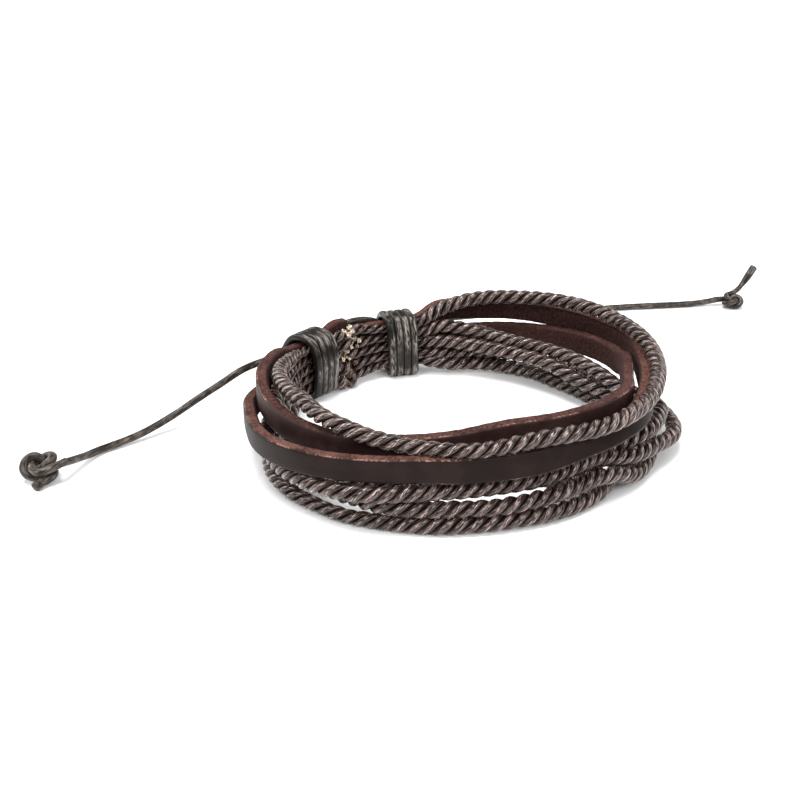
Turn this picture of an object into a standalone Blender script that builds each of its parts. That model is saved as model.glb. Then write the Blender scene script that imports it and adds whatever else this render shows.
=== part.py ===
"""Leather bracelet: two flat straps and five ropes run round the wrist as one loose ring.

Each strand is one turn of the ring. Its two ends meet between two tight cord windings, and a thin waxed cord
leaves each winding and ends in a stopper knot. The bracelet lies on z = 0, +X is the viewer's right and +Y
points away from the viewer.
"""
from collections import namedtuple
from itertools import combinations

import bpy
import numpy as np

# Driving sizes, in metres
RING_WIDTH = 0.0560         # clear inside of the ring, left to right
RING_DEPTH = 0.0528         # clear inside of the ring, front to back
ROPE_DIAMETER = 0.0025
STRAP_WIDTH = 0.0043
STRAP_THICKNESS = 0.0020
STRAP_ROUNDING = 0.00045    # radius of a strap's long edges
CORD_DIAMETER = 0.0013
CLEARANCE = 0.0003          # left between all neighbours
WINDING_GAP = 0.00015       # left between two turns of a winding
END_GAP = 0.0008            # left between the two facing ends of a strand
BUNDLE_OUT = 0.0045         # middle of the bundle from the ring's inside, at the right winding
BUNDLE_DRIFT = 0.0018       # how much farther out it is at the left winding

# Driving shares, counts and bearings
SQUEEZE = 0.64              # share of its diameter that a rope keeps inside a winding
FLARE = 1.18                # how much wider the bundle is where its ends meet, between the windings
WINDING_TURNS = 4
ENDS_BEARING = 134          # bearings are degrees from +X, anticlockwise as seen from above
RIGHT_BEARING = 113.5
LEFT_BEARING = 147.5

# Lanes that follow from the sizes
ROPE_LANE = ROPE_DIAMETER + CLEARANCE
STRAP_LANE = STRAP_WIDTH + CLEARANCE
STRAP_LAYER = STRAP_THICKNESS + CLEARANCE
SQUEEZED = ROPE_DIAMETER * SQUEEZE
SQUEEZED_LANE = SQUEEZED + CLEARANCE
WALL = CORD_DIAMETER + CLEARANCE
WINDING_PITCH = CORD_DIAMETER + WINDING_GAP
WINDING_LENGTH = WINDING_TURNS * WINDING_PITCH + CORD_DIAMETER
BUNDLE_THICKNESS = SQUEEZED + CLEARANCE + STRAP_LAYER + CORD_DIAMETER

# Each strand runs from its slot in the right winding, round the back, the right, the front and the left side,
# to its slot in the left winding. Slots are counted from the bottom, apart for ropes and straps.
Strand = namedtuple("Strand", "kind right_slot left_slot")
STRANDS = {
    "rope_top": Strand("rope", 4, 4),
    "rope_second": Strand("rope", 3, 3),
    "rope_third": Strand("rope", 2, 2),
    "rope_fourth": Strand("rope", 1, 1),
    "rope_fifth": Strand("rope", 0, 0),
    "strap_inner": Strand("strap", 0, 1),
    "strap_outer": Strand("strap", 1, 0),
}
# Degrees from ENDS_BEARING to where the two ends in each slot meet, from the bottom slot up
ENDS_OFFSET = {"rope": (2.5, -1.0, 1.5, -2.0, 0.5), "strap": (1.0, -1.5)}

# Routes: how far a strand lies outside the ring's inside and above the ground, counted in rope lanes, strap
# layers (out) and strap lanes (up), and how many degrees its top leans inward
RouteRow = namedtuple("RouteRow", "bearing ropes_out straps_out ropes_up straps_up lean", defaults=(0.0,))
ROUTES = {
    "rope_top": [
        RouteRow(98, 0.65, 0.4, 3.2, 0.5),
        RouteRow(85, 1.0, 0.4, 3.55, 0.7),
        RouteRow(70, 1.2, 0.5, 3.7, 0.75),
        RouteRow(52, 1.4, 1.0, 3.7, 0.75),
        RouteRow(38, 1.3, 1.1, 3.65, 0.75),
        RouteRow(22, 1.1, 0.9, 3.5, 0.75),
        RouteRow(4, 0.8, 0.8, 3.2, 0.85),
        RouteRow(347, 0.5, 0.8, 2.9, 0.98),
        RouteRow(330, 0.2, 1.2, 2.8, 1.06),
        RouteRow(314, 0.2, 1.3, 2.8, 1.08),
        RouteRow(296, 0.1, 1.2, 2.8, 1.08),
        RouteRow(281, 0.3, 0.9, 2.8, 1.03),
        RouteRow(264, 0.5, 1.1, 2.8, 1.0),
        RouteRow(250, 0.6, 1.1, 2.9, 1.05),
        RouteRow(238, 1.0, 1.1, 3.0, 1.1),
        RouteRow(225, 1.2, 0.8, 3.1, 1.15),
        RouteRow(212, 1.0, 0.4, 3.1, 1.1),
        RouteRow(198, 0.9, 0.4, 3.0, 0.95),
        RouteRow(183, 0.9, 0.5, 3.2, 0.6),
        RouteRow(168, 0.9, 0.6, 3.1, 0.3),
    ],
    "strap_inner": [
        RouteRow(97, 1.0, 0.6, 1.45, 0.0),
        RouteRow(85, 1.0, 0.8, 1.68, 0.0),
        RouteRow(72, 1.0, 1.1, 1.83, 0.0),
        RouteRow(58, 1.1, 1.15, 1.96, 0.0),
        RouteRow(45, 1.0, 1.2, 2.1, 0.0),
        RouteRow(35, 0.85, 1.0, 2.2, 0.02),
        RouteRow(28, 0.65, 0.75, 2.3, 0.06),
        RouteRow(21, 0.4, 0.5, 2.4, 0.12),
        RouteRow(14, 0.2, 0.2, 2.6, 0.2),
        RouteRow(7, 0.1, -0.15, 2.7, 0.2),
        RouteRow(357, 0.0, -0.5, 2.8, 0.22),
        RouteRow(342, 0.0, -0.4, 2.8, 0.4),
        RouteRow(330, 0.0, -0.25, 2.8, 0.6),
        RouteRow(315, 0.0, -0.2, 2.8, 0.75),
        RouteRow(298, 0.0, -0.4, 2.8, 0.8),
        RouteRow(280, 0.0, -0.35, 2.8, 0.8),
        RouteRow(262, 0.0, 0.2, 2.8, 0.55),
        RouteRow(245, 0.0, 0.9, 2.8, 0.35),
        RouteRow(228, 0.4, 1.7, 2.8, 0.3),
        RouteRow(212, 0.6, 2.0, 2.7, 0.35),
        RouteRow(195, 0.7, 2.0, 2.6, 0.4),
        RouteRow(180, 0.8, 2.0, 2.55, 0.36),
        RouteRow(166, 0.9, 1.6, 2.5, 0.3),
    ],
    "strap_outer": [
        RouteRow(98, 1.0, 1.15, 1.85, 0.85),
        RouteRow(85, 1.0, 1.75, 1.95, 0.8),
        RouteRow(72, 1.0, 2.05, 2.05, 0.78),
        RouteRow(58, 1.1, 2.05, 1.9, 0.8),
        RouteRow(45, 1.1, 2.1, 1.8, 0.8),
        RouteRow(34, 1.0, 1.9, 1.8, 0.8),
        RouteRow(24, 0.8, 1.5, 1.9, 0.85),
        RouteRow(14, 0.5, 1.1, 2.1, 0.7),
        RouteRow(2, 0.3, 0.7, 2.5, 0.4),
        RouteRow(350, 0.3, 0.5, 2.7, 0.3, 12),
        RouteRow(338, 0.4, 0.4, 2.8, 0.3, 28),
        RouteRow(322, 0.5, 0.3, 2.8, 0.32, 38),
        RouteRow(306, 0.5, 0.4, 2.8, 0.28, 36),
        RouteRow(290, 0.6, 0.6, 2.8, 0.2, 24),
        RouteRow(272, 0.8, 0.8, 2.8, 0.18, 10),
        RouteRow(255, 1.1, 1.1, 2.8, 0.2),
        RouteRow(240, 1.4, 1.7, 2.8, 0.15),
        RouteRow(225, 1.8, 2.2, 2.8, 0.08),
        RouteRow(210, 1.8, 2.3, 2.5, 0.0),
        RouteRow(195, 1.6, 2.0, 2.1, 0.0),
        RouteRow(180, 1.4, 1.9, 1.7, 0.0),
        RouteRow(166, 1.2, 1.6, 1.1, 0.0),
    ],
    "rope_second": [
        RouteRow(97, 0.6, 0, 2.95, 0),
        RouteRow(85, 0.45, 0, 2.75, 0),
        RouteRow(67, 0.0, 0, 2.5, 0),
        RouteRow(50, -0.25, 0, 2.42, 0),
        RouteRow(33, -0.35, 0, 2.22, 0),
        RouteRow(22, -0.25, 0, 2.05, 0),
        RouteRow(14, 0.1, 0, 1.85, 0),
        RouteRow(7, 0.9, 0, 1.75, 0),
        RouteRow(359, 1.65, 0, 1.85, 0),
        RouteRow(348, 1.4, 0, 2.05, 0),
        RouteRow(338, 1.1, 0, 2.05, 0),
        RouteRow(332, 0.65, 0, 2.1, 0),
        RouteRow(326, 0.1, 0, 1.95, 0),
        RouteRow(320, -0.5, 0, 1.55, 0),
        RouteRow(312, -0.75, 0, 1.4, 0),
        RouteRow(294, -0.6, 0, 1.55, 0),
        RouteRow(270, -0.1, 0, 1.7, 0),
        RouteRow(250, 0.9, 0, 1.65, 0),
        RouteRow(230, 1.8, 0, 1.7, 0),
        RouteRow(210, 1.7, 0, 2.0, 0),
        RouteRow(190, 1.6, 0, 2.35, 0),
        RouteRow(172, 1.5, 0, 2.6, 0),
    ],
    "rope_third": [
        RouteRow(97, 0.35, 0, 2.0, 0),
        RouteRow(85, -0.1, 0, 1.85, 0),
        RouteRow(67, -0.6, 0, 1.68, 0),
        RouteRow(48, -0.87, 0, 1.55, 0),
        RouteRow(30, -0.75, 0, 1.15, 0),
        RouteRow(15, 0.2, 0, 0.85, 0),
        RouteRow(2, 0.8, 0, 0.75, 0),
        RouteRow(345, 1.2, 0, 0.15, 0),
        RouteRow(332, 1.2, 0, 0.3, 0),
        RouteRow(320, 1.05, 0, 0.92, 0),
        RouteRow(314, 0.87, 0, 1.25, 0),
        RouteRow(306, 0.87, 0, 1.25, 0),
        RouteRow(294, 1.1, 0, 1.1, 0),
        RouteRow(280, 1.4, 0, 0.96, 0),
        RouteRow(262, 1.75, 0, 0.85, 0),
        RouteRow(245, 2.3, 0, 0.9, 0),
        RouteRow(230, 2.0, 0, 0.7, 0),
        RouteRow(212, 1.6, 0, 1.0, 0),
        RouteRow(192, 1.4, 0, 1.4, 0),
        RouteRow(172, 1.3, 0, 1.65, 0),
    ],
    "rope_fourth": [
        RouteRow(97, 0.6, 0, 1.05, 0),
        RouteRow(80, 1.0, 0, 0.85, 0),
        RouteRow(62, 1.2, 0, 0.7, 0),
        RouteRow(42, 1.3, 0, 0.7, 0),
        RouteRow(24, 1.7, 0, 0.7, 0),
        RouteRow(10, 2.3, 0, 0.7, 0),
        RouteRow(358, 2.65, 0, 0.7, 0),
        RouteRow(350, 2.4, 0, 0.8, 0),
        RouteRow(341, 1.65, 0, 1.1, 0),
        RouteRow(332, 1.1, 0, 1.16, 0),
        RouteRow(320, 0.46, 0, 1.6, 0),
        RouteRow(314, 0.25, 0, 1.85, 0),
        RouteRow(306, 0.3, 0, 1.97, 0),
        RouteRow(292, 0.5, 0, 2.05, 0),
        RouteRow(278, 0.85, 0, 2.1, 0),
        RouteRow(262, 1.5, 0, 2.05, 0),
        RouteRow(248, 2.6, 0, 2.0, 0),
        RouteRow(234, 3.3, 0, 1.85, 0),
        RouteRow(220, 3.2, 0, 1.55, 0),
        RouteRow(204, 2.7, 0, 1.2, 0),
        RouteRow(188, 2.2, 0, 0.85, 0),
        RouteRow(172, 1.75, 0, 0.85, 0),
    ],
    "rope_fifth": [
        RouteRow(97, 0.3, 0, 0.12, 0),
        RouteRow(80, 0.75, 0, 0.05, 0),
        RouteRow(67, 0.85, 0, 0.0, 0),
        RouteRow(48, 0.05, 0, 0.0, 0),
        RouteRow(30, -0.15, 0, 0.0, 0),
        RouteRow(2, -0.25, 0, 0.0, 0),
        RouteRow(328, 0.0, 0, 0.0, 0),
        RouteRow(320, 0.25, 0, 0.0, 0),
        RouteRow(313, 0.65, 0, 0.0, 0),
        RouteRow(306, 0.9, 0, 0.0, 0),
        RouteRow(294, 1.2, 0, 0.0, 0),
        RouteRow(276, 1.5, 0, 0.0, 0),
        RouteRow(258, 1.95, 0, 0.0, 0),
        RouteRow(242, 2.35, 0, 0.0, 0),
        RouteRow(226, 2.65, 0, 0.0, 0),
        RouteRow(212, 2.8, 0, 0.0, 0),
        RouteRow(198, 2.4, 0, 0.0, 0),
        RouteRow(184, 1.75, 0, 0.0, 0),
        RouteRow(170, 1.3, 0, 0.05, 0),
    ],
}

# The free cords' chosen points in millimetres, from the mouth of each winding outward to the knot
TAIL_POINTS_MM = {
    "left": [
        (-33.6, 15.1, 8.7), (-36.6, 12.5, 8.8), (-39.8, 9.6, 8.4), (-43.0, 7.8, 6.8), (-46.6, 6.2, 4.9),
        (-51.6, 2.9, 2.5), (-56.4, -1.3, 1.2), (-59.6, -3.9, 0.85), (-62.0, -6.0, 0.8), (-63.4, -8.6, 1.2),
        (-64.4, -11.4, 2.0),
    ],
    "right": [
        (-8.0, 33.3, 8.3), (-5.4, 35.0, 8.1), (-1.0, 38.0, 7.4), (4.2, 42.2, 6.2), (9.0, 45.9, 4.8),
        (13.6, 49.3, 3.5), (18.0, 52.4, 2.4), (22.6, 55.3, 1.4), (27.5, 58.1, 0.9), (32.6, 60.2, 0.75),
        (38.2, 61.4, 0.75),
        (44.2, 62.2, 0.75), (50.0, 62.9, 0.75), (54.0, 63.5, 0.8), (57.0, 64.1, 1.0),
    ],
}

# Each stopper knot: where its middle is, which way its cord travels through it, how far its plane leans
# towards the viewer, how thin the cord is pulled, how loose the loops are, and where the cut end goes on,
# counted along the travel, sideways and up
Knot = namedtuple("Knot", "middle_mm travel tilt thinning looseness end_on_top stub_mm")
KNOTS = {
    "left": Knot((-69.4, -14.8), -140, 14, 1.15, 1.0, False, [(1.4, 0.1, 0.0), (2.6, 0.6, 0.0)]),
    "right": Knot((62.3, 63.0), 8, 12, 0.9, 0.93, True,
                  [(1.6, 0.3, 0.6), (3.1, 1.0, 1.9), (4.6, 2.0, 3.3), (6.0, 3.2, 4.4)]),
}

# Looks: base colour and roughness, all of them not metallic
LOOKS = {
    "rope": ((0.085, 0.062, 0.056), 0.55),
    "strap": ((0.075, 0.055, 0.050), 0.60),
    "winding": ((0.090, 0.082, 0.068), 0.50),
    "cord": ((0.095, 0.080, 0.066), 0.50),
}

# How finely the strands are drawn and eased apart
STATION_STEP = 1.0          # degrees
OVERRUN = 6                 # degrees past ENDS_BEARING, because the strands' ends are staggered
STRAND_POINTS = 54
EASE_ROUNDS = 400
EASE_SPREAD = 5             # degrees to each side over which a push is shared
EASE_ROUND_LIMIT = 0.0001   # the most that a strand moves in one round
MOST_STRETCH = 0.12
FREE_BY = 12                # degrees from a winding's mouth to where a strand is free to move
POINTS_PER_TURN = 20        # of a winding
KNOT_POINTS = 44            # round the three lobes
KNOT_LINE_POINTS = 52       # with the lead-in and the cut end
FINE_POINTS = 800           # for measuring along a line
KNOT_LEAD = 0.0026          # straight length before a knot's first loop
CORD_STEP = 0.0034
OFF_GROUND = 0.0001         # free cords and knots keep this much clear of the ground
MM = 0.001
DRAWCORD_RISE = -0.0003     # of the drawcord above the upper strap's middle
DRAWCORD_ENDS = {"left": (3.5, 0.0014), "right": (3.5, 0.0018)}  # degrees past the winding, and the rise


def blend(keys, values, at):
    """Smooth curve through unevenly spaced rows (cubic Hermite)."""
    keys = np.asarray(keys, float)
    values = np.asarray(values, float).reshape(len(keys), -1)
    slope = np.gradient(values, keys, axis=0)
    i = np.clip(np.searchsorted(keys, at, side="right") - 1, 0, len(keys) - 2)
    step = (keys[i + 1] - keys[i])[:, None]
    t = (at - keys[i])[:, None] / step
    before = (2 * t**3 - 3 * t**2 + 1) * values[i] + (t**3 - 2 * t**2 + t) * step * slope[i]
    after = (3 * t**2 - 2 * t**3) * values[i + 1] + (t**3 - t**2) * step * slope[i + 1]
    return before + after


def unit(vector):
    return vector / np.linalg.norm(vector)


def distance_along(points):
    """Distance from the first point to each point of a line."""
    return np.concatenate([[0], np.cumsum(np.linalg.norm(np.diff(points, axis=0), axis=1))])


def oval(bearing):
    """Points on the ring's inside at the given bearings, and its outward normals there."""
    angle = np.radians(bearing)
    half = np.array([RING_WIDTH / 2, RING_DEPTH / 2])
    way = np.stack([np.cos(angle), np.sin(angle)], -1)
    point = way / np.linalg.norm(way / half, axis=-1, keepdims=True)
    normal = point / half**2
    return point, normal / np.linalg.norm(normal, axis=-1, keepdims=True)


def place(bearing, out, up):
    """Points in space from a bearing, a distance outside the ring's inside and a height."""
    point, normal = oval(bearing)
    plan = point + normal * np.reshape(out, (-1, 1))
    return np.column_stack([plan, np.broadcast_to(up, len(plan))])


def bundle_out(bearing):
    """Distance from the ring's inside to the middle of the bundle."""
    return BUNDLE_OUT + BUNDLE_DRIFT * (bearing - RIGHT_BEARING) / (LEFT_BEARING - RIGHT_BEARING)


def half_angle():
    """Half of a winding's length as a bearing."""
    radius = (RING_WIDTH + RING_DEPTH) / 4 + BUNDLE_OUT
    return np.degrees(WINDING_LENGTH / 2 / radius)


def bundle_top():
    """Height of the bundle's highest surface inside a winding."""
    ropes = len(ENDS_OFFSET["rope"]) * SQUEEZED_LANE
    straps = len(ENDS_OFFSET["strap"]) * STRAP_LANE
    return WALL + max(ropes, straps) - CLEARANCE


def slot(kind, number):
    """A slot's distance from the middle of the bundle, its height and where the ends in it meet."""
    if kind == "rope":
        out = (SQUEEZED - BUNDLE_THICKNESS) / 2
        up = WALL + SQUEEZED / 2 + number * SQUEEZED_LANE
    else:
        out = SQUEEZED_LANE + (STRAP_THICKNESS - BUNDLE_THICKNESS) / 2
        up = bundle_top() + STRAP_WIDTH / 2 + CLEARANCE - (len(ENDS_OFFSET[kind]) - number) * STRAP_LANE
    return out, up, ENDS_BEARING + ENDS_OFFSET[kind][number]


def drawcord_slot():
    """The drawcord runs outside the upper strap, inside the windings."""
    return (BUNDLE_THICKNESS - CORD_DIAMETER) / 2, slot("strap", 1)[1] + DRAWCORD_RISE


def flared(out, up):
    """A slot's place where the bundle is widest, between the windings."""
    middle = (WALL + bundle_top()) / 2
    return out * FLARE, middle + (up - middle) * FLARE


class Section:
    """A strand's section at every station: a rectangle with round corners, or a circle."""

    def __init__(self, name):
        strand = STRANDS[name]
        self.strap = strand.kind == "strap"
        self.run = np.arange(-OVERRUN, 360 + OVERRUN + STATION_STEP / 2, STATION_STEP)
        own_half = (STRAP_WIDTH if self.strap else ROPE_DIAMETER) / 2
        tight = 1.0 if self.strap else SQUEEZE
        rows = []
        wide = 1.0 if self.strap else SQUEEZE * FLARE
        held_ends = [(RIGHT_BEARING, strand.right_slot, OVERRUN, 0),
                     (LEFT_BEARING, strand.left_slot, -OVERRUN, 360)]
        for middle, number, overrun, lap in held_ends:
            held = slot(strand.kind, number)[:2]
            for bearing in (middle - half_angle(), middle, middle + half_angle()):
                rows.append((ENDS_BEARING - bearing + lap, bundle_out(bearing) + held[0], held[1], 0, tight))
            for bearing in (ENDS_BEARING, ENDS_BEARING + overrun):
                out, up = flared(*held)
                rows.append((ENDS_BEARING - bearing + lap, bundle_out(bearing) + out, up, 0, wide))
        for row in ROUTES[name]:
            out = row.ropes_out * ROPE_LANE + row.straps_out * STRAP_LAYER
            up = row.ropes_up * ROPE_LANE + row.straps_up * STRAP_LANE + own_half
            rows.append(((ENDS_BEARING - row.bearing) % 360, out, up, row.lean, 1.0))
        rows.sort()
        values = blend([row[0] for row in rows], [row[1:] for row in rows], self.run)
        self.centre = values[:, :2]
        self.lean = np.radians(values[:, 2])
        self.tight = np.minimum(values[:, 3], 1.0)
        self.wide = np.column_stack([-np.sin(self.lean), np.cos(self.lean)])
        self.flat = np.column_stack([np.cos(self.lean), np.sin(self.lean)])
        if self.strap:
            self.core = np.array([STRAP_WIDTH, STRAP_THICKNESS]) / 2 - STRAP_ROUNDING
            self.radius = np.full(len(self.run), STRAP_ROUNDING)
        else:
            self.core = np.zeros(2)
            self.radius = self.tight * ROPE_DIAMETER / 2

    def reach(self, way):
        """How far the section reaches from its centre along a direction."""
        along_wide = np.abs((way * self.wide).sum(1)) * self.core[0]
        along_flat = np.abs((way * self.flat).sum(1)) * self.core[1]
        return along_wide + along_flat + self.radius

    def corners(self):
        """The middles of the section's round corners, or the middle of a circle."""
        if not self.strap:
            return [self.centre]
        signs = [(1, 1), (1, -1), (-1, 1), (-1, -1)]
        return [self.centre + a * self.core[0] * self.wide + b * self.core[1] * self.flat for a, b in signs]

    def way_to(self, point):
        """Vector from the nearest place of the section's core to a point."""
        away = point - self.centre
        across = (away * self.wide).sum(1)
        through = (away * self.flat).sum(1)
        across -= np.clip(across, -self.core[0], self.core[0])
        through -= np.clip(through, -self.core[1], self.core[1])
        return across[:, None] * self.wide + through[:, None] * self.flat

    def stretch(self):
        """The share by which the section is longer where the strand climbs or swerves."""
        radius = (RING_WIDTH + RING_DEPTH) / 4 + self.centre[:, 0]
        travel = np.radians(np.gradient(self.run)) * radius
        slope = np.gradient(self.centre, axis=0) / travel[:, None]
        return np.minimum(np.sqrt(1 + (slope**2).sum(1)) - 1, MOST_STRETCH)


def gap_between(a, b):
    """Gap between two sections at every station, and the direction from the first to the second."""
    ways = [-b.way_to(corner) for corner in a.corners()]
    if a.strap:
        ways += [a.way_to(corner) for corner in b.corners()]
    ways = np.array(ways)
    lengths = np.linalg.norm(ways, axis=2)
    nearest = lengths.argmin(0)
    stations = np.arange(len(nearest))
    way = ways[nearest, stations]
    length = lengths[nearest, stations]
    fallback = b.centre - a.centre
    way = np.where(length[:, None] > 1e-9, way, fallback)
    way /= np.maximum(np.linalg.norm(way, axis=1, keepdims=True), 1e-9)
    return length - a.radius - b.radius, way


def freedom(run):
    """0 inside the windings, 1 where a strand is free to move."""
    right_mouth = ENDS_BEARING - (RIGHT_BEARING - half_angle())
    left_mouth = ENDS_BEARING - (LEFT_BEARING + half_angle()) + 360
    share = np.clip(np.minimum(run - right_mouth, left_mouth - run) / FREE_BY, 0, 1)
    return share**2 * (3 - 2 * share)


def settle(sections):
    """Ease the strands apart until every two of them keep their clearance, and none sinks into the ground."""
    run = next(iter(sections.values())).run
    free = freedom(run)[:, None]
    half_spread = round(EASE_SPREAD / STATION_STEP)
    share = np.hanning(2 * half_spread + 3)
    share /= share.sum()
    up = np.array([0.0, 1.0])
    stretch = {name: section.stretch() * free[:, 0] for name, section in sections.items()}
    for _ in range(EASE_ROUNDS):
        push = {name: np.zeros((len(run), 2)) for name in sections}
        for first, second in combinations(sections, 2):
            a, b = sections[first], sections[second]
            gap, way = gap_between(a, b)
            need = CLEARANCE + a.reach(way) * stretch[first] + b.reach(way) * stretch[second]
            short = np.clip(need - gap, 0, EASE_ROUND_LIMIT)[:, None]
            push[first] -= way * short
            push[second] += way * short
        for name, section in sections.items():
            for axis in (0, 1):
                section.centre[:, axis] += free[:, 0] * np.convolve(push[name][:, axis], share, "same")
            lowest = section.reach(up)
            section.centre[:, 1] = np.where(free[:, 0] > 0, np.maximum(section.centre[:, 1], lowest),
                                            section.centre[:, 1])


def strand_line(name, section, count):
    """Evenly spaced points along a strand from its right end to its left end, with its lean and tightness."""
    strand = STRANDS[name]
    radius = (RING_WIDTH + RING_DEPTH) / 4 + BUNDLE_OUT
    half_gap = np.degrees(END_GAP / 2 / radius)
    first = -ENDS_OFFSET[strand.kind][strand.right_slot] + half_gap
    last = 360 - ENDS_OFFSET[strand.kind][strand.left_slot] - half_gap
    fine = np.linspace(first, last, FINE_POINTS)
    columns = np.column_stack([section.centre, section.lean, section.tight])
    out, up, lean, tight = blend(section.run, columns, fine).T
    points = place(ENDS_BEARING - fine, out, up)
    way = distance_along(points)
    at = np.linspace(0, way[-1], count)
    picked = [np.interp(at, way, column) for column in (*points.T, lean, tight)]
    return np.column_stack(picked[:3]), picked[3], picked[4]


def winding_line(middle):
    """Points along a winding's cord: turn after turn round the bundle, side by side along it."""
    circles = [(*slot("rope", number)[:2], SQUEEZED / 2) for number in range(len(ENDS_OFFSET["rope"]))]
    circles.append((*drawcord_slot(), CORD_DIAMETER / 2))
    for number in range(len(ENDS_OFFSET["strap"])):
        out, up, _ = slot("strap", number)
        for a, b in ((-1, -1), (-1, 1), (1, -1), (1, 1)):
            circles.append((out + a * (STRAP_THICKNESS / 2 - STRAP_ROUNDING),
                            up + b * (STRAP_WIDTH / 2 - STRAP_ROUNDING), STRAP_ROUNDING))
    circles = np.array(circles)
    turn = np.radians(np.arange(POINTS_PER_TURN) * 360 / POINTS_PER_TURN)
    facing = np.column_stack([-np.sin(turn), -np.cos(turn)])
    outermost = (facing @ circles[:, :2].T + circles[:, 2]).argmax(1)
    reach = circles[outermost, 2] + CLEARANCE + CORD_DIAMETER / 2
    loop = circles[outermost, :2] + facing * reach[:, None]
    way = distance_along(loop)
    share = way / (way[-1] + np.linalg.norm(loop[0] - loop[-1]))
    ends = [middle - half_angle(), middle + half_angle()]
    near, far = place(np.array(ends), bundle_out(np.array(ends)), 0)
    centre = place(np.array([middle]), bundle_out(middle), 0)[0]
    along = unit(far - near)
    outward = np.array([along[1], -along[0], 0])
    start = centre / 2 + (near + far) / 4 + along * (CORD_DIAMETER - WINDING_LENGTH) / 2
    points = []
    for turn in range(WINDING_TURNS):
        for part, (out, up) in zip(share, loop):
            points.append(start + along * (turn + part) * WINDING_PITCH + outward * out + [0, 0, up])
    return np.array(points)


def drawcord_line(side):
    """The held stretch of the thin cord, from a winding's mouth to its end between the windings."""
    out, up = drawcord_slot()
    middle = RIGHT_BEARING if side == "right" else LEFT_BEARING
    towards = 1 if side == "right" else -1
    past, rise = DRAWCORD_ENDS[side]
    bearings = middle + towards * (half_angle() * np.array([-1.0, -0.5, 0.0, 0.5, 1.0]))
    bearings = np.append(bearings, middle + towards * (half_angle() + np.array([0.5, 1.0]) * past))
    heights = up + rise * np.array([0, 0, 0, 0, 0.1, 0.5, 1.0])
    return place(bearings, bundle_out(bearings) + out, heights)


def knot_line(knot, cord):
    """Points along a stopper knot: a three-lobed loop, its lead-in and its cut end."""
    thin = cord * knot.thinning
    lift = 0.55 * thin * knot.looseness
    ring = lift + 0.64 * thin * knot.looseness
    turn = np.linspace(0, 2 * np.pi, KNOT_POINTS)
    up = np.where(turn < np.pi / 6, lift, np.where(turn > 11 * np.pi / 6, -lift, lift * np.sin(3 * turn)))
    spread = ring + lift * np.cos(3 * turn)
    lobes = np.column_stack([spread * np.cos(2 * turn), spread * np.sin(2 * turn), up])
    rim = ring + lift
    lead = [(rim, -KNOT_LEAD, lift), (rim, -KNOT_LEAD / 2, lift)]
    overturn = -1 if knot.end_on_top else 1
    stub = [(rim + sideways * MM, travel * MM, overturn * rise * MM - lift)
            for travel, sideways, rise in knot.stub_mm]
    points = np.vstack([lead, lobes, stub])
    points[:, 2] *= overturn
    way = distance_along(points)
    even = blend(way, points, np.linspace(0, way[-1], KNOT_LINE_POINTS))
    travel, tilt = np.radians([knot.travel, knot.tilt])
    ahead = np.array([np.cos(travel), np.sin(travel), 0])
    sideways = np.array([-np.sin(travel), np.cos(travel), 0])
    turned = even[:, :1] * sideways + even[:, 1:2] * ahead + even[:, 2:] * [0, 0, 1]
    away, high = turned[:, 1].copy(), turned[:, 2].copy()
    turned[:, 1] = away * np.cos(tilt) - high * np.sin(tilt)
    turned[:, 2] = away * np.sin(tilt) + high * np.cos(tilt)
    turned[:, 2] += cord / 2 + OFF_GROUND - turned[:, 2].min()
    turned[:, :2] += np.array(knot.middle_mm) * MM
    return turned


def tail_line(side, knot_points):
    """The free cord from a winding's mouth to its knot, through its chosen points."""
    exit_place = drawcord_line(side)[0]
    entry = knot_points[0]
    towards_knot = unit(knot_points[1] - knot_points[0])
    points = np.vstack([exit_place, np.array(TAIL_POINTS_MM[side]) * MM, entry])
    points[:, 2] = np.maximum(points[:, 2], CORD_DIAMETER / 2 + OFF_GROUND)
    way = distance_along(points)
    fine = blend(way, points, np.linspace(0, way[-1], FINE_POINTS))
    fine[:, 2] = np.maximum(fine[:, 2], CORD_DIAMETER / 2 + OFF_GROUND)
    way = distance_along(fine)
    count = round(way[-1] / CORD_STEP)
    at = np.linspace(CLEARANCE, way[-1] - CLEARANCE, count)
    line = np.column_stack([np.interp(at, way, axis) for axis in fine.T])
    line[-1] = entry - towards_knot * CLEARANCE
    return line


# Blender objects

def clear_scene():
    for item in list(bpy.data.objects):
        bpy.data.objects.remove(item, do_unlink=True)


def new_collection(name):
    collection = bpy.data.collections.new(name)
    bpy.context.scene.collection.children.link(collection)
    return collection


def look(name, kind):
    colour, roughness = LOOKS[kind]
    material = bpy.data.materials.new(name)
    material.use_nodes = True
    shader = material.node_tree.nodes["Principled BSDF"]
    shader.inputs["Base Color"].default_value = (*colour, 1)
    shader.inputs["Roughness"].default_value = roughness
    shader.inputs["Metallic"].default_value = 0.0
    return material


def line_object(name, points, kind, collection, parent, widths=None, tilts=None):
    """A curve object through points, ready for its section."""
    curve = bpy.data.curves.new(name, "CURVE")
    curve.dimensions = "3D"
    curve.use_fill_caps = True
    spline = curve.splines.new("POLY")
    spline.points.add(len(points) - 1)
    widths = np.ones(len(points)) if widths is None else widths
    tilts = np.zeros(len(points)) if tilts is None else tilts
    for point, centre, width, tilt in zip(spline.points, points, widths, tilts):
        point.co = (*centre, 1)
        point.radius = width
        point.tilt = tilt
    curve.materials.append(look(name, kind))
    item = bpy.data.objects.new(name, curve)
    collection.objects.link(item)
    item.parent = parent
    return item


def add_tube(name, points, diameter, kind, collection, parent, widths=None):
    item = line_object(name, points, kind, collection, parent, widths=widths)
    item.data.bevel_depth = diameter / 2
    item.data.bevel_resolution = 2
    return item


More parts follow.
